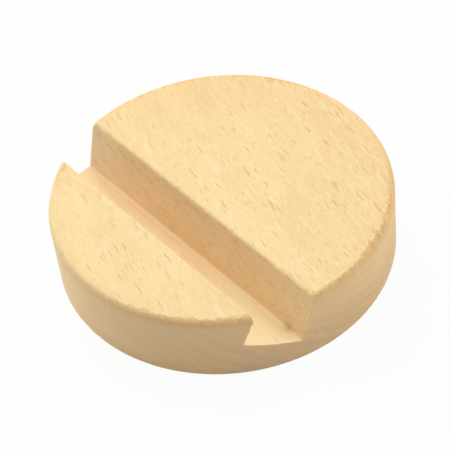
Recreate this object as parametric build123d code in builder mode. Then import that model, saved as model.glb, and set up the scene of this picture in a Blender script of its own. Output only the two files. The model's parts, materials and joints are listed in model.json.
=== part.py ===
from build123d import *
import math
import os

# A round hardwood block with one leaning slot that holds a photo block or a thick card upright.
# The origin is the centre of the flat base, +Z is up and the slot runs along X.
# The large part of the block is behind the slot, towards +Y, and carries the leaning photo.

# Sizes of the block, in millimetres
block_diameter = 80
block_height = 18
top_rim_round = 1.5
base_rim_round = 0.8

# Sizes of the slot, whose depth is measured down its rear wall and whose lean is in degrees
slot_width = 12.4
slot_depth = 12.5
slot_lean = 17.5
# Distance from the middle of the block to the top edge of the slot's rear wall
slot_rear_edge = 6.7
# Round that sanding leaves along the two top edges of the slot
slot_edge_round = 0.5

# Distance by which the slot's cutting shape runs past the wood
cut_overrun = 5

block_radius = block_diameter / 2
lean = math.radians(slot_lean)

# Inner corner at the foot of the slot's rear wall
slot_foot_y = -slot_rear_edge - slot_depth * math.sin(lean)
slot_foot_z = block_height - slot_depth * math.cos(lean)

with BuildPart() as holder_block:
    # Turned disc, with a round on its top rim and a smaller one under it
    Cylinder(block_radius, block_height, align=(Align.CENTER, Align.CENTER, Align.MIN))
    base_rim, top_rim = holder_block.edges().filter_by(GeomType.CIRCLE).sort_by(Axis.Z)
    fillet(top_rim, radius=top_rim_round)
    base_rim = holder_block.edges().filter_by(GeomType.CIRCLE).sort_by(Axis.Z)[0]
    fillet(base_rim, radius=base_rim_round)

    # Slot milled right through at a lean, with its floor square to its two walls
    with BuildSketch(Plane.YZ):
        with Locations((slot_foot_y, slot_foot_z)):
            Rectangle(
                slot_width,
                slot_depth + cut_overrun,
                rotation=-slot_lean,
                align=(Align.MAX, Align.MIN),
            )
    extrude(amount=block_radius + cut_overrun, both=True, mode=Mode.SUBTRACT)

    # Straight top edges of the two slot walls
    slot_edges = holder_block.edges().filter_by(Axis.X).group_by(Axis.Z)[-1]
    fillet(slot_edges, radius=slot_edge_round)

holder_block.part.label = "holder_block"

os.makedirs("parts", exist_ok=True)
export_step(holder_block.part, "parts/holder_block.step")
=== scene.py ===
# A round beech block with a leaning slot that holds a photo block upright, seen from above its slot.
# All lengths are in metres unless a comment or a name says otherwise.
import json
import math

import bmesh
import bpy
import numpy as np
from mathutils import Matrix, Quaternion, Vector


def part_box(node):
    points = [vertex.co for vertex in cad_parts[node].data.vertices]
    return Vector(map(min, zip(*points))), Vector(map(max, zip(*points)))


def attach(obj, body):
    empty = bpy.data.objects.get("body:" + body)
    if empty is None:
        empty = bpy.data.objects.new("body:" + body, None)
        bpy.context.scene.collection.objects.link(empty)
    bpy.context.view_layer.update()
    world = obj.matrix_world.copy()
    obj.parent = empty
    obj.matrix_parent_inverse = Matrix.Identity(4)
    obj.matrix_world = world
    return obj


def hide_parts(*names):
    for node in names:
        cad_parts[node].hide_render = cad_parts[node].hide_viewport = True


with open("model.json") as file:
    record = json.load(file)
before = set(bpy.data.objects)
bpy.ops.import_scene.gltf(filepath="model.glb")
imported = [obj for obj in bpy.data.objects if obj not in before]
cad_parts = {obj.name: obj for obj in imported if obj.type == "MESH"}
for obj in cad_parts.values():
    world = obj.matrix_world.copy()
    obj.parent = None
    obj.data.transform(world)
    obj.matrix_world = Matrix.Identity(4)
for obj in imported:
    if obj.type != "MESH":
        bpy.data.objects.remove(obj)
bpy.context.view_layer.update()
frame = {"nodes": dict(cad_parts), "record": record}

# The block's sizes come from its CAD node and from the mounts that the record gives for its slot
BLOCK = "holder_block"
high_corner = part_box(BLOCK)[1]
block_radius = high_corner.x
block_height = high_corner.z
mounts = {mount["name"]: mount for mount in frame["record"]["mounts"]}
wall_point = np.array(mounts["slot_rear_wall"]["pos_m"])
wall_normal = np.array(mounts["slot_rear_wall"]["axis"])
floor_point = np.array(mounts["slot"]["pos_m"])
floor_normal = np.array(mounts["slot"]["axis"])
slot_half_width = float(np.dot(floor_point - wall_point, wall_normal))

# Rounds that the turning tool and the sanding leave, and how unevenly the top rim's round runs
TOP_RIM_ROUND = 0.0015
RIM_WOBBLE = 0.00008
RIM_WOBBLE_WAVE = 0.031
RIM_RIPPLE = 0.00006
RIM_RIPPLE_WAVE = 0.0045
BASE_RIM_ROUND = 0.0008

# The slot's edges are sanded at the top, and crisp from a little below it
SLOT_EDGE_ROUND = 0.00046
SLOT_END_ROUND = 0.00007
SLOT_ROOT_ROUND = 0.0002
SANDED_DOWN_TO = 0.0006
CRISP_FROM = 0.0022

# The slot's lips: an uneven line, and the small chips that the cutter tore out
LIP_REACH = 0.045
LIP_PLACES = 3601
LIP_WOBBLE = 0.00006
LIP_WAVE = 0.009
CHIP_COUNT = 130
CHIP_DEPTHS = (0.00003, 0.00036)
DEEP_CHIP_RARITY = 2.2
CHIP_WIDTHS = (0.00030, 0.00100)
CHIP_TAILS = (1.0, 2.2)
CHIP_HEIGHT = 0.00045
FRONT_LIP_SHARE = 0.6

# Fineness of the block's mesh: the even skin, then finer bands along the top rim and the slot's edges
SKIN_STEP = 0.00054
FINE_BAND = 0.0009
FINEST_BAND = 0.0007
SLOT_END_BAND = 0.0004
FLAT_MARGIN = 0.0026
LEVEL_MARGIN = 0.000001
MERGE_DISTANCE = 0.0000001
WELD_DISTANCE = 0.00002
SETTLING_PASSES = 5
PROBE_STEP = 0.000002

# Zones that the finish tells apart, among them the band of painted light along the slot's upright end
# edges: their widths, and where the handled back begins and is full
SLOT_MARGIN = 0.0003
PAINTED_EDGE_LIGHT_WIDTH = 0.0008
HANDLED_FROM_SIDE = (0.008, 0.001)
HANDLED_Y = (-0.012, 0.012)
RIM_TURN_LIMIT = 4

# How far the middle of a round lies inside both of its faces, as a share of its radius
ROUND_SAG = 0.29

# How steep a place is where it begins to count as cut side or as upright, and where it fully does
CUT_SIDE_STEEPNESS = (0.1, 0.4)
UPRIGHT_STEEPNESS = (0.4, 0.8)

# How far a place in the slot faces as its floor does, from none of its finish to all of it
FACES_AS_FLOOR = (0.5, 0.9)

# The grain runs along the slot but 14 degrees off it, and the heart of the tree was above the board
GRAIN_TURN = math.radians(-14)
HEART_ACROSS_MM = 34
HEART_ABOVE_MM = 66
YEAR_MM = 3.1
MM_PER_METRE = 1000

# Bare sanded wood: its gloss, and how deep its grain is
BARE_ROUGHNESS = 0.62
WOOD_IOR = 1.45
WOOD_SPECULAR = 0.35
GRAIN_DEPTH = 0.00004
GRAIN_STRENGTH = 0.4

# Single marks: a pin knot low on the slot's rear wall, and a painted highlight on the corner at the near
# end of its lip
PIN_KNOT_MM = (34.0, -10.44, 6.25)
PIN_KNOT_SIZE_MM = 0.48
KNOT_RING_SIZE_MM = 2.2
CORNER_GLINT_MM = (39.2, -6.95, 17.4)
CORNER_GLINT_SIZE_MM = 0.9

# Where each change of the finish, painted light and shade among them, begins and where it is full, along X,
# Y or Z
FULLER_FIGURE_X = (-0.034, -0.004)
FAINTER_FIGURE_Y = (-0.020, -0.031)
CLEARER_RINGS_Z = (0.014, 0.008)
LEFT_SIDE_X = (-0.008, -0.019)
RIGHT_SIDE_X = (0.026, 0.036)
RIGHT_SIDE_TOP_Z = (0.005, 0.013)
WALL_LEFT_X = (-0.024, -0.039)
WALL_RIGHT_X = (0.012, 0.040)
WALL_TOP_Z = (0.009, 0.017)
UNDER_LIP_Z = (0.0169, 0.0176)
FLOOR_RIGHT_X = (-0.038, 0.024)

# What multiplies the wood's red, green and blue, by place and by how the wood was cut there; the tints
# marked as painted light or shade stand in for how the studio's light falls
FRONT_RIGHT_TINT = (1.02, 1.03, 1.02)
REAR_LEFT_TINT = (0.955, 0.925, 0.90)
CUT_SIDE_TINT = (1.00, 0.975, 1.07)
# Painted light: a cooler, paler cast on the left side
LEFT_SIDE_PAINTED_LIGHT = (0.91, 1.008, 1.078)
# Painted shade and light: the right side darker at its foot and lighter towards its top
RIGHT_SIDE_FOOT_PAINTED_SHADE = (0.92, 0.955, 0.985)
RIGHT_SIDE_TOP_PAINTED_LIGHT = (1.00, 1.024, 1.033)
END_GRAIN_TINT = (0.995, 0.925, 0.89)
WALL_FOOT_TINT = (0.885, 0.894, 0.963)
WALL_TOP_TINT = (0.895, 0.904, 0.923)
# Painted light: the slot wall paler at its left and right ends and in a band just under its lip
WALL_LEFT_PAINTED_LIGHT = (1.06, 1.11, 1.15)
WALL_RIGHT_PAINTED_LIGHT = (1.095, 1.09, 1.03)
UNDER_LIP_PAINTED_LIGHT = (1.07, 1.05, 1.01)
# Painted light: the slot floor lighter, most towards its right end
FLOOR_LEFT_PAINTED_LIGHT = (1.04, 1.05, 1.20)
FLOOR_RIGHT_PAINTED_LIGHT = (1.15, 1.18, 1.37)
# Painted light: lifts the shade on the upright edges where the slot meets the side
PAINTED_EDGE_LIGHT_TINT = (1.12, 1.09, 1.05)
# Painted light: the slot's rounded lips lightened and warmed out of their grey shade
SLOT_LIP_PAINTED_LIGHT = (1.16, 1.09, 0.94)
HANDLED_TINT = (1.0, 0.965, 0.93)
SIDE_RIM_TINT = (0.96, 0.915, 0.85)
END_RIM_TINT = (1.00, 0.89, 0.79)
RIM_CREST_TINT = (0.87, 0.86, 0.87)

# Camera, fitted to the photograph
CAMERA_AZIMUTH = math.radians(54.47)
CAMERA_ELEVATION = math.radians(46.83)
CAMERA_ROLL = math.radians(-7.195)
CAMERA_DISTANCE = 0.40218
CAMERA_AIM = Vector((0.00231, -0.00158, 0.009))
CAMERA_LENS_MM = 138.3
SENSOR_MM = 36
CLIP_RATIO = 100

# Studio: a white floor, weak light from all round and three softboxes
FLOOR_HALF_WIDTH = 3.0
FLOOR_GREY = (0.8, 0.8, 0.8, 1)
FLOOR_ROUGHNESS = 0.9
FLOOR_GLOW_SHARE = 0.945
WHITE = (1, 1, 1, 1)
ROOM_LIGHT = 0.32
SOFTBOX_DISTANCE = 0.9
# Each softbox: its name, azimuth and elevation in degrees, width and height, and watts
SOFTBOXES = (
    ("left_softbox", -91, 35, 1.35, 1.0, 11.0),
    ("right_softbox", 142, 30, 0.8, 0.8, 3.5),
    ("top_softbox", 180, 72, 0.5, 0.5, 0.35),
)


def smooth_step(value, low, high):
    """0 at the low value and 1 at the high one, with a smooth step between."""
    share = np.clip((value - low) / (high - low), 0, 1)
    return share * share * (3 - 2 * share)


def rounded_overlap(one, other, radius):
    """Signed distance from what two shapes share, with their common edge rounded."""
    past = np.hypot(np.maximum(one + radius, 0), np.maximum(other + radius, 0))
    return np.minimum(np.maximum(one, other), -radius) + past


def wobble(place, length, seed):
    """A smooth uneven line between about -1 and 1, whose longest wave has the given length."""
    random = np.random.default_rng(seed)
    total = 0
    for wave in range(1, 6):
        phase = random.uniform(0, 2 * math.pi)
        pitch = random.uniform(0.8, 1.2) * wave * 2 * math.pi / length
        total = total + np.sin(place * pitch + phase) / wave
    return total / 2


def from_middle(points):
    """Distance of each point from the block's upright middle line."""
    return np.hypot(points[:, 0], points[:, 1])


def disc_distance(points):
    """Signed distance from the turned disc, before its slot is cut."""
    round_the_rim = np.arctan2(points[:, 1], points[:, 0]) * block_radius
    top_round = TOP_RIM_ROUND + RIM_WOBBLE * wobble(round_the_rim, RIM_WOBBLE_WAVE, seed=3)
    top_round = top_round + RIM_RIPPLE * wobble(round_the_rim, RIM_RIPPLE_WAVE, seed=8)
    upper = rounded_overlap(from_middle(points) - block_radius, points[:, 2] - block_height, top_round)
    return rounded_overlap(upper, -points[:, 2], BASE_RIM_ROUND)


def torn_line(along, seed):
    """How far a lip of the slot is torn back at each place along it."""
    random = np.random.default_rng(seed)
    line = LIP_WOBBLE * wobble(along, LIP_WAVE, seed)
    shallow, deep = CHIP_DEPTHS
    for _ in range(CHIP_COUNT):
        middle = random.uniform(along[0], along[-1])
        depth = shallow + (deep - shallow) * random.random() ** DEEP_CHIP_RARITY
        off_middle = (along - middle) / random.uniform(*CHIP_WIDTHS)
        off_middle = np.where(off_middle < 0, off_middle, off_middle / random.uniform(*CHIP_TAILS))
        line = np.maximum(line, depth * np.exp(-(off_middle ** 2)))
    return line


def slot_distance(points):
    """Signed distance from the space that the cutter took, with its torn lips."""
    from_floor = points - floor_point
    off_centre = from_floor @ wall_normal
    rear_line = np.interp(points[:, 0], along_lip, rear_lip)
    front_line = np.interp(points[:, 0], along_lip, front_lip)
    torn = np.where(off_centre < 0, rear_line, front_line)
    torn = torn * np.exp(-(((block_height - points[:, 2]) / CHIP_HEIGHT) ** 2))
    across = np.abs(off_centre) - slot_half_width - torn
    return rounded_overlap(across, -(from_floor @ floor_normal), SLOT_ROOT_ROUND)


def near_top(points):
    """1 at the block's top and 0 from just below its rounded rim."""
    return smooth_step(points[:, 2], block_height - CRISP_FROM, block_height - SANDED_DOWN_TO)


def slot_round(points):
    """How far the slot's edges are rounded: its lips are sanded, and its ends are crisper."""
    return SLOT_END_ROUND + (SLOT_EDGE_ROUND - SLOT_END_ROUND) * near_top(points)


def block_distance(points):
    """Signed distance from the finished block."""
    return rounded_overlap(disc_distance(points), -slot_distance(points), slot_round(points))


def slope(distance, points):
    """Direction in which a signed distance grows, at each point."""
    probes = np.eye(3) * PROBE_STEP
    steps = [distance(points + probe) - distance(points - probe) for probe in probes]
    direction = np.stack(steps, axis=1)
    return direction / np.maximum(np.linalg.norm(direction, axis=1, keepdims=True), 1e-12)


def settled(points):
    """Points moved onto the block's surface along its own slope."""
    for _ in range(SETTLING_PASSES):
        points = points - block_distance(points)[:, None] * slope(block_distance, points)
    return points


def places(vertices):
    """Vertex places as one array."""
    flat = np.empty(len(vertices) * 3)
    vertices.foreach_get("co", flat)
    return flat.reshape(-1, 3)


def settle(skin):
    """Moves every vertex of a mesh onto the block's surface."""
    skin.vertices.foreach_set("co", settled(places(skin.vertices)).ravel())


def even_skin(source):
    """A new mesh over a merged copy of a CAD node, made of small squares of one size."""
    merged = bmesh.new()
    merged.from_mesh(source.data)
    bmesh.ops.remove_doubles(merged, verts=merged.verts, dist=MERGE_DISTANCE)
    copy_mesh = bpy.data.meshes.new("merged_copy")
    merged.to_mesh(copy_mesh)
    merged.free()
    helper = bpy.data.objects.new("merged_copy", copy_mesh)
    bpy.context.scene.collection.objects.link(helper)
    remesh = helper.modifiers.new("even_skin", "REMESH")
    remesh.mode = "VOXEL"
    remesh.voxel_size = SKIN_STEP
    bpy.context.view_layer.update()
    evaluated = helper.evaluated_get(bpy.context.evaluated_depsgraph_get())
    skin = bpy.data.meshes.new_from_object(evaluated)
    bpy.data.objects.remove(helper)
    bpy.data.meshes.remove(copy_mesh)
    return skin


def within_slot_edge(points, band):
    """True where a point lies within a band along the slot's edges."""
    return (disc_distance(points) > -band) & (slot_distance(points) < band)


def on_an_edge(points):
    """True where a point lies in the band along the top rim, the slot's edges or the slot's root."""
    near_top_level = np.abs(points[:, 2] - block_height) < TOP_RIM_ROUND + FINE_BAND
    top_rim = near_top_level & (from_middle(points) > block_radius - TOP_RIM_ROUND - FINE_BAND)
    from_floor = points - floor_point
    near_wall = np.abs(np.abs(from_floor @ wall_normal) - slot_half_width) < FINE_BAND / 2
    slot_root = near_wall & (np.abs(from_floor @ floor_normal) < FINE_BAND / 2)
    return top_rim | within_slot_edge(points, FINE_BAND) | slot_root


def on_slot_edge(points):
    """True where a point lies in the narrow band along the slot's edges."""
    return within_slot_edge(points, FINEST_BAND)


def on_slot_end(points):
    """True where a point lies along the edges that the slot makes with the block's side."""
    return within_slot_edge(points, SLOT_END_BAND) & (points[:, 2] < block_height - TOP_RIM_ROUND / 2)


def on_a_flat(points):
    """True well inside the flat top and base, where large faces do."""
    inside = (from_middle(points) < block_radius - FLAT_MARGIN) & (slot_distance(points) > FLAT_MARGIN)
    level = (points[:, 2] < LEVEL_MARGIN) | (points[:, 2] > block_height - LEVEL_MARGIN)
    return inside & level


def refine(skin, is_marked):
    """Divides the faces where a test holds, and settles the new corners on the rounded shape."""
    shape = bmesh.new()
    shape.from_mesh(skin)
    marked = is_marked(places(skin.vertices))
    fine = [edge for edge in shape.edges if marked[edge.verts[0].index] and marked[edge.verts[1].index]]
    bmesh.ops.subdivide_edges(shape, edges=fine, cuts=1, use_grid_fill=True)
    lone = [vertex for vertex in shape.verts if len(vertex.link_edges) == 2]
    bmesh.ops.dissolve_verts(shape, verts=lone)
    bmesh.ops.remove_doubles(shape, verts=shape.verts, dist=WELD_DISTANCE)
    shape.to_mesh(skin)
    shape.free()
    settle(skin)


def join_flats(skin):
    """Makes one face of each large flat area, and divides it into a few triangles."""
    shape = bmesh.new()
    shape.from_mesh(skin)
    flat = on_a_flat(places(skin.vertices))
    level_faces = [face for face in shape.faces if all(flat[vertex.index] for vertex in face.verts)]
    bmesh.ops.dissolve_faces(shape, faces=level_faces, use_verts=False)
    bmesh.ops.triangulate(shape, faces=[face for face in shape.faces if len(face.verts) > 4])
    shape.to_mesh(skin)
    shape.free()


def make_block():
    """The block: even squares, finer along its edges, all settled on the rounded shape."""
    skin = even_skin(frame["nodes"][BLOCK])
    settle(skin)
    refine(skin, on_an_edge)
    refine(skin, on_slot_edge)
    refine(skin, on_slot_end)
    join_flats(skin)
    skin.update()
    skin.shade_smooth()
    skin.name = "turned_block"
    made = bpy.data.objects.new("turned_block", skin)
    bpy.context.scene.collection.objects.link(made)
    return made


def rim_turn(points):
    """0 where the top meets the rim's round, 1 where the round meets the side, and on past both."""
    over_side = from_middle(points) - (block_radius - TOP_RIM_ROUND)
    over_top = points[:, 2] - (block_height - TOP_RIM_ROUND)
    quarter = TOP_RIM_ROUND * math.pi / 2
    turn = np.arctan2(over_side, over_top) / (math.pi / 2)
    turn = np.where(over_side < 0, over_side / quarter, turn)
    turn = np.where((over_side > 0) & (over_top < 0), 1 - over_top / quarter, turn)
    return np.clip(turn, -RIM_TURN_LIMIT, RIM_TURN_LIMIT)


def handled(points):
    """1 along the back of the top's edge and the back of the side, where fingers hold the block."""
    far, near = HANDLED_FROM_SIDE
    near_side = smooth_step(from_middle(points), block_radius - far, block_radius - near)
    return near_side * smooth_step(points[:, 1], *HANDLED_Y)


def store(mesh, name, values):
    """A number for each vertex, for the wood finish to read."""
    layer = mesh.attributes.new(name, "FLOAT", "POINT")
    layer.data.foreach_set("value", values.astype(np.float32))


def mark_surfaces(mesh):
    """Tells the finish which way each place faces, how it was cut, and where light is painted on the slot's
    upright end edges and on its lips.
    """
    points = places(mesh.vertices)
    facing = slope(block_distance, points)
    into_disc = -disc_distance(points)
    from_slot = slot_distance(points)
    grain = np.array([math.cos(GRAIN_TURN), math.sin(GRAIN_TURN), 0])
    steepness = 1 - np.abs(facing[:, 2])
    upright = smooth_step(steepness, *UPRIGHT_STEEPNESS)
    in_slot = smooth_step(-from_slot, -SLOT_MARGIN, 0.0)
    on_floor = smooth_step(facing @ floor_normal, *FACES_AS_FLOOR)
    beside_edge = 1 - smooth_step(np.maximum(into_disc, from_slot), 0, PAINTED_EDGE_LIGHT_WIDTH)
    sag = np.minimum(into_disc, from_slot) / (slot_round(points) * ROUND_SAG)
    store(mesh, "end_grain", (facing @ grain) ** 2)
    store(mesh, "end_side", (points @ grain / np.maximum(from_middle(points), 1e-6)) ** 2)
    store(mesh, "cut_side", smooth_step(steepness, *CUT_SIDE_STEEPNESS))
    store(mesh, "slot_wall", in_slot * (1 - on_floor))
    store(mesh, "slot_floor", in_slot * on_floor)
    # Painted light on the upright edges where the slot meets the side, which face away from the lamps
    store(mesh, "painted_edge_light", beside_edge * upright * (1 - near_top(points)))
    # Painted light on the slot's rounded lips, which face away from the lamps
    store(mesh, "slot_lip", np.clip(sag, 0, 1) * (1 - upright))
    store(mesh, "rim_turn", rim_turn(points))
    store(mesh, "handled", handled(points))


class Wire:
    """One output of a shader node; arithmetic on it adds Math nodes."""

    def __init__(self, finish, socket):
        self.finish = finish
        self.socket = socket

    def math(self, operation, *values):
        return self.finish.add("ShaderNodeMath", {"operation": operation}, dict(enumerate(values)))

    def other(self, name):
        """Another output of the same node."""
        return Wire(self.finish, self.socket.node.outputs[name])

    def at_least(self, value):
        return self.math("MAXIMUM", self, value)

    def __add__(self, value):
        return self.math("ADD", self, value)

    def __sub__(self, value):
        return self.math("SUBTRACT", self, value)

    def __rsub__(self, value):
        return self.math("SUBTRACT", value, self)

    def __mul__(self, value):
        return self.math("MULTIPLY", self, value)

    def __truediv__(self, value):
        return self.math("DIVIDE", self, value)

    def __pow__(self, value):
        return self.math("POWER", self, value)

    __radd__ = __add__
    __rmul__ = __mul__


class Finish:
    """The nodes of a material or of the world, made one by one."""

    def __init__(self, owner):
        owner.use_nodes = True
        self.owner = owner
        self.tree = owner.node_tree

    def node(self, kind):
        """The node of this kind that the owner came with."""
        return next(node for node in self.tree.nodes if node.type == kind)

    def add(self, kind, settings=None, values=None):
        """Any node: its settings are set first, then its sockets, by name or by number."""
        node = self.tree.nodes.new(kind)
        for name, value in (settings or {}).items():
            setattr(node, name, value)
        for key, value in (values or {}).items():
            self.join(self.socket(node, key), value)
        return Wire(self, next(socket for socket in node.outputs if socket.enabled))

    def socket(self, node, key):
        if isinstance(key, int):
            return node.inputs[key]
        return next(socket for socket in node.inputs if socket.name == key and socket.enabled)

    def join(self, socket, value):
        if isinstance(value, Wire):
            self.tree.links.new(value.socket, socket)
        else:
            socket.default_value = value

    def blend(self, kind, factor, one, two):
        """A colour mix; each colour is a wire or its red, green and blue."""
        colours = [value if isinstance(value, Wire) else (*value, 1) for value in (one, two)]
        return self.add(
            "ShaderNodeMix",
            {"data_type": "RGBA", "blend_type": kind},
            {"Factor": factor, "A": colours[0], "B": colours[1]},
        )

    def layered(self, colour, layers):
        """A colour with layers over it; each layer is the kind of mix, its strength and its colour."""
        for kind, strength, layer in layers:
            colour = self.blend(kind, strength, colour, layer)
        return colour

    def ease(self, value, low, high):
        """0 below low and 1 above high, with a smooth step between; high may be the smaller one."""
        return self.add(
            "ShaderNodeMapRange",
            {"interpolation_type": "SMOOTHSTEP"},
            {"Value": value, "From Min": low, "From Max": high},
        )

    def place(self, x, y, z):
        return self.add("ShaderNodeCombineXYZ", None, {0: x, 1: y, 2: z})

    def noise(self, place, detail=2.0, roughness=0.5):
        sockets = {"Vector": place, "Scale": 1.0, "Detail": detail, "Roughness": roughness}
        return self.add("ShaderNodeTexNoise", None, sockets)

    def attribute(self, name):
        return self.add("ShaderNodeAttribute", {"attribute_name": name}).other("Fac")


def srgb(red, green, blue):
    """A colour as a picture editor names it, from 0 to 255, in the shader's own scale."""
    shares = [value / 255 for value in (red, green, blue)]
    return [share / 12.92 if share <= 0.04045 else ((share + 0.055) / 1.055) ** 2.4 for share in shares]


# Colours that the wood is made of, and those that shade or lighten it
WARM_WOOD = srgb(242, 212, 155)
PALE_WOOD = srgb(247, 219, 163)
FIBRE_SHADE = srgb(226, 205, 180)
PATCH_SHADE = srgb(238, 226, 208)
LATE_WOOD_SHADE = srgb(214, 188, 156)
DARK_STROKE = srgb(214, 176, 118)
PALE_STROKE = srgb(255, 233, 186)
SMUDGE_SHADE = srgb(234, 216, 186)
PALE_SMUDGE = srgb(255, 228, 176)
BOLD_RAY = srgb(196, 158, 104)
SMALL_RAY = srgb(206, 170, 116)
BESIDE_RAY = srgb(255, 235, 190)
CUTTER_LINE_SHADE = srgb(226, 211, 190)
# A painted highlight, for the glint at one corner of the slot's lip
CORNER_GLINT = srgb(255, 222, 172)
PIN_KNOT = srgb(112, 78, 36)
KNOT_RING_SHADE = srgb(214, 190, 160)


class WoodGrid:
    """Places on the block, and in its board in millimetres: along the grain and round the heart."""

    def __init__(self, finish):
        self.finish = finish
        self.board = finish.add("ShaderNodeTexCoord").other("Object")
        corner = finish.add("ShaderNodeSeparateXYZ", None, {0: self.board})
        self.x = corner.other("X")
        self.y = corner.other("Y")
        self.z = corner.other("Z")
        turned = finish.add(
            "ShaderNodeMapping",
            {"vector_type": "POINT"},
            {"Vector": self.board, "Rotation": (0, 0, -GRAIN_TURN), "Scale": (MM_PER_METRE,) * 3},
        )
        split = finish.add("ShaderNodeSeparateXYZ", None, {0: turned})
        self.along = split.other("X")
        to_heart_across = HEART_ACROSS_MM - split.other("Y")
        to_heart_up = HEART_ABOVE_MM - split.other("Z")
        self.out = (to_heart_across * to_heart_across + to_heart_up * to_heart_up) ** 0.5
        angle = to_heart_across.math("ARCTAN2", to_heart_across, to_heart_up)
        drift = finish.noise(finish.place(self.along / 34, angle * 2.2, self.out / 26), detail=1.0)
        straight = angle * HEART_ABOVE_MM + drift * 3.0
        sway = finish.noise(finish.place(self.along / 5, straight / 2.5, self.out / 3))
        wiggle = finish.noise(finish.place(self.along / 1.6, straight / 1.2, self.out / 2), detail=1.0)
        self.around = straight + sway * 1.1
        self.across = sway * 1.1 + wiggle * 0.7 - to_heart_across

    def noise(self, along_mm, around_mm, out_mm, detail=2.0, roughness=0.5):
        """Noise of the given size along the grain, round the heart and out from it."""
        place = self.finish.place(self.along / along_mm, self.around / around_mm, self.out / out_mm)
        return self.finish.noise(place, detail, roughness)


class Cuts:
    """How each place was cut, which way it faces, and where light is painted on the slot's edges, as the
    block's mesh tells it.
    """

    def __init__(self, finish):
        self.end_grain = finish.attribute("end_grain")
        self.end_side = finish.attribute("end_side")
        self.cut_side = finish.attribute("cut_side")
        self.slot_wall = finish.attribute("slot_wall")
        self.slot_floor = finish.attribute("slot_floor")
        self.painted_edge_light = finish.attribute("painted_edge_light")
        self.slot_lip = finish.attribute("slot_lip")
        self.rim_turn = finish.attribute("rim_turn")
        self.handled = finish.attribute("handled")
        # How clearly the wood's figure shows there, which is best on the flat top
        self.clearness = 1 - self.cut_side * 0.8 - self.slot_floor * 0.4


def ray_flecks(finish, grid, cell_mm, picked, reaches, shift):
    """Dark spindles where the wood's rays come to the surface, and the paler wood beside them."""
    smallest, largest = reaches
    place = finish.place(grid.along / cell_mm[0] + shift, grid.across / cell_mm[1], grid.out / cell_mm[2])
    near = finish.add("ShaderNodeTexVoronoi", {"feature": "F1"}, {"Vector": place, "Scale": 1.0})
    chance = finish.add("ShaderNodeSeparateColor", None, {0: near.other("Color")})
    reach = chance.other("Green") * (largest - smallest) + smallest
    chosen = finish.ease(chance.other("Red"), 1 - picked, 1 - picked * 0.6)
    ratio = near / reach
    core = finish.ease(ratio, 1.0, 0.35)
    pale_edge = finish.ease(ratio, 2.0, 1.3) * finish.ease(ratio, 0.8, 1.2)
    return core * chosen, pale_edge * chosen


class Grain:
    """The wood's own figure: fine fibres, short strokes, and rays that are faint on cut faces."""

    def __init__(self, finish, grid, cuts):
        self.fibres = grid.noise(7, 0.28, 0.6, detail=3.0, roughness=0.6)
        self.strokes = finish.noise(finish.place(grid.along / 1.7, grid.across / 0.30, grid.out / 1.4))
        figure = cuts.clearness * (finish.ease(grid.x, *FULLER_FIGURE_X) * 0.48 + 0.56)
        figure = figure * (1 - finish.ease(grid.y, *FAINTER_FIGURE_Y) * 0.24)
        bold, beside_bold = ray_flecks(finish, grid, (6.6, 0.84, 6.0), 0.56, (0.18, 0.50), shift=0.0)
        small, beside_small = ray_flecks(finish, grid, (2.8, 0.62, 3.0), 0.60, (0.22, 0.48), shift=7.3)
        self.bold = bold * figure
        self.small = small * figure
        self.beside_bold = beside_bold * figure
        self.beside_small = beside_small * figure


def year_rings(finish, grid, tone):
    """The darker late wood of each year, where the slow drift of tone lets it show."""
    drift = grid.noise(30, 14, 14)
    years = (grid.out + drift * 7.0) / YEAR_MM
    year = years.math("FRACT", years)
    return finish.ease(year, 0.15, 0.85) * finish.ease(year, 1.0, 0.88) * finish.ease(tone, 0.30, 0.60)


def wood_colour(finish, grid, cuts, grain):
    """The board's colour: slow drift, fibres, year rings, strokes, smudges and rays."""
    tone = grid.noise(22, 9, 9, detail=3.0)
    smudges = grid.noise(3.2, 0.9, 0.8)
    patches = grid.noise(5, 1.6, 2.0, detail=1.0)
    rear_left = finish.ease(grid.across - grid.along, -70, 70)
    drift_tint = finish.blend("MIX", rear_left, FRONT_RIGHT_TINT, REAR_LEFT_TINT)
    ring_depth = cuts.end_grain * (finish.ease(grid.z, *CLEARER_RINGS_Z) * 0.09 + 0.07) + 0.01
    colour = finish.blend("MIX", finish.ease(tone, 0.25, 0.75), WARM_WOOD, PALE_WOOD)
    return finish.layered(colour, (
        ("MULTIPLY", 1.0, drift_tint),
        ("MULTIPLY", grain.fibres * (0.08 - cuts.cut_side * 0.01), FIBRE_SHADE),
        ("MULTIPLY", finish.ease(patches, 0.60, 0.35) * cuts.clearness * 0.12, PATCH_SHADE),
        ("MULTIPLY", year_rings(finish, grid, tone) * ring_depth, LATE_WOOD_SHADE),
        ("MIX", finish.ease(grain.strokes, 0.45, 0.25) * cuts.clearness * 0.14, DARK_STROKE),
        ("MIX", finish.ease(grain.strokes, 0.52, 0.70) * cuts.clearness * 0.14, PALE_STROKE),
        ("MULTIPLY", finish.ease(smudges, 0.50, 0.28) * cuts.slot_wall * 0.46, SMUDGE_SHADE),
        ("MIX", finish.ease(smudges, 0.58, 0.75) * cuts.slot_wall * 0.28, PALE_SMUDGE),
        ("MIX", grain.beside_bold * 0.32, BESIDE_RAY),
        ("MIX", grain.beside_small * 0.18, BESIDE_RAY),
        ("MIX", grain.bold * 0.40, BOLD_RAY),
        ("MIX", grain.small * 0.32, SMALL_RAY),
    ))


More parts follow.
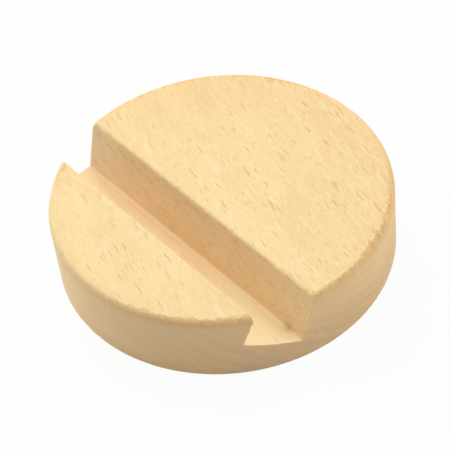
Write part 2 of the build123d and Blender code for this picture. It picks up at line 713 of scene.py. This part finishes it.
def tints_and_painted_light(finish, colour, grid, cuts):
    """The tint that each way of cutting leaves, painted light and shade on the sides and on the slot's
    walls, floor, lips and upright end edges, and the back of the rim darkened a little by handling.
    """
    turned_side = cuts.cut_side * (1 - cuts.slot_wall)
    to_top = finish.ease(grid.z, *RIGHT_SIDE_TOP_Z)
    right_side_painted_light = finish.blend("MIX", to_top, RIGHT_SIDE_FOOT_PAINTED_SHADE, RIGHT_SIDE_TOP_PAINTED_LIGHT)
    wall_tint = finish.blend("MIX", finish.ease(grid.z, *WALL_TOP_Z), WALL_FOOT_TINT, WALL_TOP_TINT)
    floor_painted_light = finish.blend("MIX", finish.ease(grid.x, *FLOOR_RIGHT_X), FLOOR_LEFT_PAINTED_LIGHT, FLOOR_RIGHT_PAINTED_LIGHT)
    colour = finish.layered(colour, (
        ("MULTIPLY", cuts.cut_side, CUT_SIDE_TINT),
        # Painted light and shade on the left and right sides
        ("MULTIPLY", turned_side * finish.ease(grid.x, *LEFT_SIDE_X), LEFT_SIDE_PAINTED_LIGHT),
        ("MULTIPLY", turned_side * finish.ease(grid.x, *RIGHT_SIDE_X), right_side_painted_light),
        ("MULTIPLY", cuts.end_grain, END_GRAIN_TINT),
        ("MULTIPLY", cuts.slot_wall, wall_tint),
        # Painted light on the slot wall's ends and just under its lip
        ("MULTIPLY", cuts.slot_wall * finish.ease(grid.x, *WALL_LEFT_X), WALL_LEFT_PAINTED_LIGHT),
        ("MULTIPLY", cuts.slot_wall * finish.ease(grid.x, *WALL_RIGHT_X), WALL_RIGHT_PAINTED_LIGHT),
        ("MULTIPLY", cuts.slot_wall * finish.ease(grid.z, *UNDER_LIP_Z), UNDER_LIP_PAINTED_LIGHT),
        # Painted light on the slot floor
        ("MULTIPLY", cuts.slot_floor, floor_painted_light),
        # Painted light on the upright slot-end edges
        ("MULTIPLY", cuts.painted_edge_light, PAINTED_EDGE_LIGHT_TINT),
        # Painted light on the slot's rounded lips
        ("MULTIPLY", cuts.slot_lip, SLOT_LIP_PAINTED_LIGHT),
        ("MULTIPLY", cuts.handled, HANDLED_TINT),
    ))
    # No part of the wood sends back more light than falls on it
    return finish.add("ShaderNodeVectorMath", {"operation": "MINIMUM"}, {0: colour, 1: (1, 1, 1)})


def rim_polish(finish, grid, cuts):
    """How far the rounded rim is burnished, most on end grain, and the dark crest at its ragged border."""
    ragged = grid.noise(1.5, 1.5, 1.5)
    border = (0.24 - cuts.end_side * 0.9).at_least(-0.04)
    turn = cuts.rim_turn + (ragged - 0.5) * (cuts.end_side * 0.8 + 0.9)
    outside = (1 - (cuts.slot_wall + cuts.slot_floor + cuts.painted_edge_light)).at_least(0)
    crossed = finish.ease(turn, border, border + 0.17) * outside
    warmed = crossed * 0.85 + finish.ease(turn, -1.3, 0.0) * outside * 0.15
    burnish = warmed * finish.ease(cuts.rim_turn, 2.0 - cuts.end_side * 0.8, 0.50)
    crest = crossed * finish.ease(turn, 0.48, 0.18) * finish.ease(cuts.end_side, 0.05, 0.40)
    return burnish, crest


def cutter_lines(finish, grid):
    """Fine lines that the cutter leaves along the slot's floor."""
    over_floor = grid.y * (MM_PER_METRE * wall_normal[1]) + grid.z * (MM_PER_METRE * wall_normal[2])
    lines = finish.noise(finish.place(grid.x * MM_PER_METRE / 30, over_floor / 0.55, 0.0))
    return finish.ease(lines, 0.46, 0.28)


def spot(finish, grid, place_mm, size_mm):
    """1 at one place in the wood, falling to 0 at about the given size from it."""
    place = [value / MM_PER_METRE for value in place_mm]
    offset = finish.add("ShaderNodeVectorMath", {"operation": "SUBTRACT"}, {0: grid.board, 1: place})
    length = finish.add("ShaderNodeVectorMath", {"operation": "LENGTH"}, {0: offset}).other("Value")
    return finish.ease(length * MM_PER_METRE / size_mm, 1.0, 0.3)


def beech():
    """Fine sanded bare beech, with painted light and shade on some of its faces and edges, and a painted
    highlight at one corner.
    """
    finish = Finish(bpy.data.materials.new("beech"))
    grid = WoodGrid(finish)
    cuts = Cuts(finish)
    grain = Grain(finish, grid, cuts)
    burnish, crest = rim_polish(finish, grid, cuts)
    burnish_tint = finish.blend("MIX", finish.ease(cuts.end_side, 0.0, 0.6), SIDE_RIM_TINT, END_RIM_TINT)
    knot = spot(finish, grid, PIN_KNOT_MM, PIN_KNOT_SIZE_MM)
    knot_ring = spot(finish, grid, PIN_KNOT_MM, KNOT_RING_SIZE_MM) * (1 - knot)

    colour = wood_colour(finish, grid, cuts, grain)
    colour = tints_and_painted_light(finish, colour, grid, cuts)
    colour = finish.layered(colour, (
        ("MULTIPLY", burnish, burnish_tint),
        ("MULTIPLY", crest, RIM_CREST_TINT),
        ("MULTIPLY", cutter_lines(finish, grid) * cuts.slot_floor * 0.3, CUTTER_LINE_SHADE),
        # Painted highlight at the near end of the slot's lip
        ("MIX", spot(finish, grid, CORNER_GLINT_MM, CORNER_GLINT_SIZE_MM), CORNER_GLINT),
        ("MIX", knot * 0.65, PIN_KNOT),
        ("MULTIPLY", knot_ring * 0.4, KNOT_RING_SHADE),
    ))

    shader = finish.node("BSDF_PRINCIPLED")
    finish.join(shader.inputs["Base Color"], colour)
    finish.join(shader.inputs["Roughness"], BARE_ROUGHNESS + grain.fibres * 0.12 - burnish * 0.08)
    shader.inputs["IOR"].default_value = WOOD_IOR
    shader.inputs["Specular IOR Level"].default_value = WOOD_SPECULAR
    height = grain.fibres * 0.25 + grain.strokes * 0.2 - grain.bold * 0.25 - grain.small * 0.1 - knot * 2.0
    grain_relief = {"Height": height, "Distance": GRAIN_DEPTH, "Strength": GRAIN_STRENGTH}
    finish.join(shader.inputs["Normal"], finish.add("ShaderNodeBump", None, grain_relief))
    return finish.owner


def make_camera():
    """Camera at the photograph's viewing angle."""
    back = Vector((
        math.sin(CAMERA_AZIMUTH) * math.cos(CAMERA_ELEVATION),
        -math.cos(CAMERA_AZIMUTH) * math.cos(CAMERA_ELEVATION),
        math.sin(CAMERA_ELEVATION),
    ))
    data = bpy.data.cameras.new("camera")
    data.lens = CAMERA_LENS_MM
    data.sensor_width = SENSOR_MM
    data.clip_start = CAMERA_DISTANCE / CLIP_RATIO
    data.clip_end = CAMERA_DISTANCE * CLIP_RATIO
    camera = bpy.data.objects.new("camera", data)
    camera.location = CAMERA_AIM + back * CAMERA_DISTANCE
    camera.rotation_mode = "QUATERNION"
    level = (-back).to_track_quat("-Z", "Y")
    camera.rotation_quaternion = level @ Quaternion((0, 0, 1), CAMERA_ROLL)
    bpy.context.scene.collection.objects.link(camera)
    bpy.context.scene.camera = camera


def seen_directly(finish):
    """1 for what the camera sees, and for what gloss and clear pieces show of it."""
    path = finish.add("ShaderNodeLightPath")
    seen = path.other("Is Camera Ray").at_least(path.other("Is Glossy Ray"))
    return seen.at_least(path.other("Is Transmission Ray"))


def make_floor():
    """A plain pale floor that is white to the camera and keeps the block's shadow."""
    shape = bmesh.new()
    bmesh.ops.create_grid(shape, x_segments=1, y_segments=1, size=FLOOR_HALF_WIDTH)
    mesh = bpy.data.meshes.new("studio_floor")
    shape.to_mesh(mesh)
    shape.free()
    floor = bpy.data.objects.new("studio_floor", mesh)
    bpy.context.scene.collection.objects.link(floor)
    paper = Finish(bpy.data.materials.new("white_paper"))
    shader = paper.node("BSDF_PRINCIPLED")
    shader.inputs["Base Color"].default_value = FLOOR_GREY
    shader.inputs["Roughness"].default_value = FLOOR_ROUGHNESS
    matt = Wire(paper, shader.outputs["BSDF"])
    glow = paper.add("ShaderNodeEmission", None, {"Color": WHITE, "Strength": 1.0})
    glow_share = seen_directly(paper) * FLOOR_GLOW_SHARE
    mixed = paper.add("ShaderNodeMixShader", None, {0: glow_share, 1: matt, 2: glow})
    paper.join(paper.node("OUTPUT_MATERIAL").inputs["Surface"], mixed)
    mesh.materials.append(paper.owner)


def make_world():
    """Even weak light from all round, seen by the camera as plain white."""
    room = Finish(bpy.data.worlds.new("studio"))
    background = room.node("BACKGROUND")
    background.inputs["Color"].default_value = WHITE
    room.join(background.inputs["Strength"], seen_directly(room) * (1 - ROOM_LIGHT) + ROOM_LIGHT)
    bpy.context.scene.world = room.owner


def make_softbox(name, azimuth, elevation, width, height, watts):
    """A wide soft lamp that looks at the block from the given side."""
    turn = math.radians(azimuth)
    rise = math.radians(elevation)
    away = Vector((math.sin(turn) * math.cos(rise), -math.cos(turn) * math.cos(rise), math.sin(rise)))
    data = bpy.data.lights.new(name, "AREA")
    data.energy = watts
    data.shape = "RECTANGLE"
    data.size = width
    data.size_y = height
    lamp = bpy.data.objects.new(name, data)
    lamp.location = away * SOFTBOX_DISTANCE
    lamp.rotation_mode = "QUATERNION"
    lamp.rotation_quaternion = (-away).to_track_quat("-Z", "Y")
    bpy.context.scene.collection.objects.link(lamp)


make_camera()
make_floor()
make_world()
for softbox in SOFTBOXES:
    make_softbox(*softbox)
bpy.context.scene.view_settings.view_transform = "Standard"

along_lip = np.linspace(-LIP_REACH, LIP_REACH, LIP_PLACES)
rear_lip = torn_line(along_lip, seed=21)
front_lip = torn_line(along_lip, seed=34) * FRONT_LIP_SHARE
block = make_block()
mark_surfaces(block.data)
block.data.materials.append(beech())
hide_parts(BLOCK)
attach(block, "root")
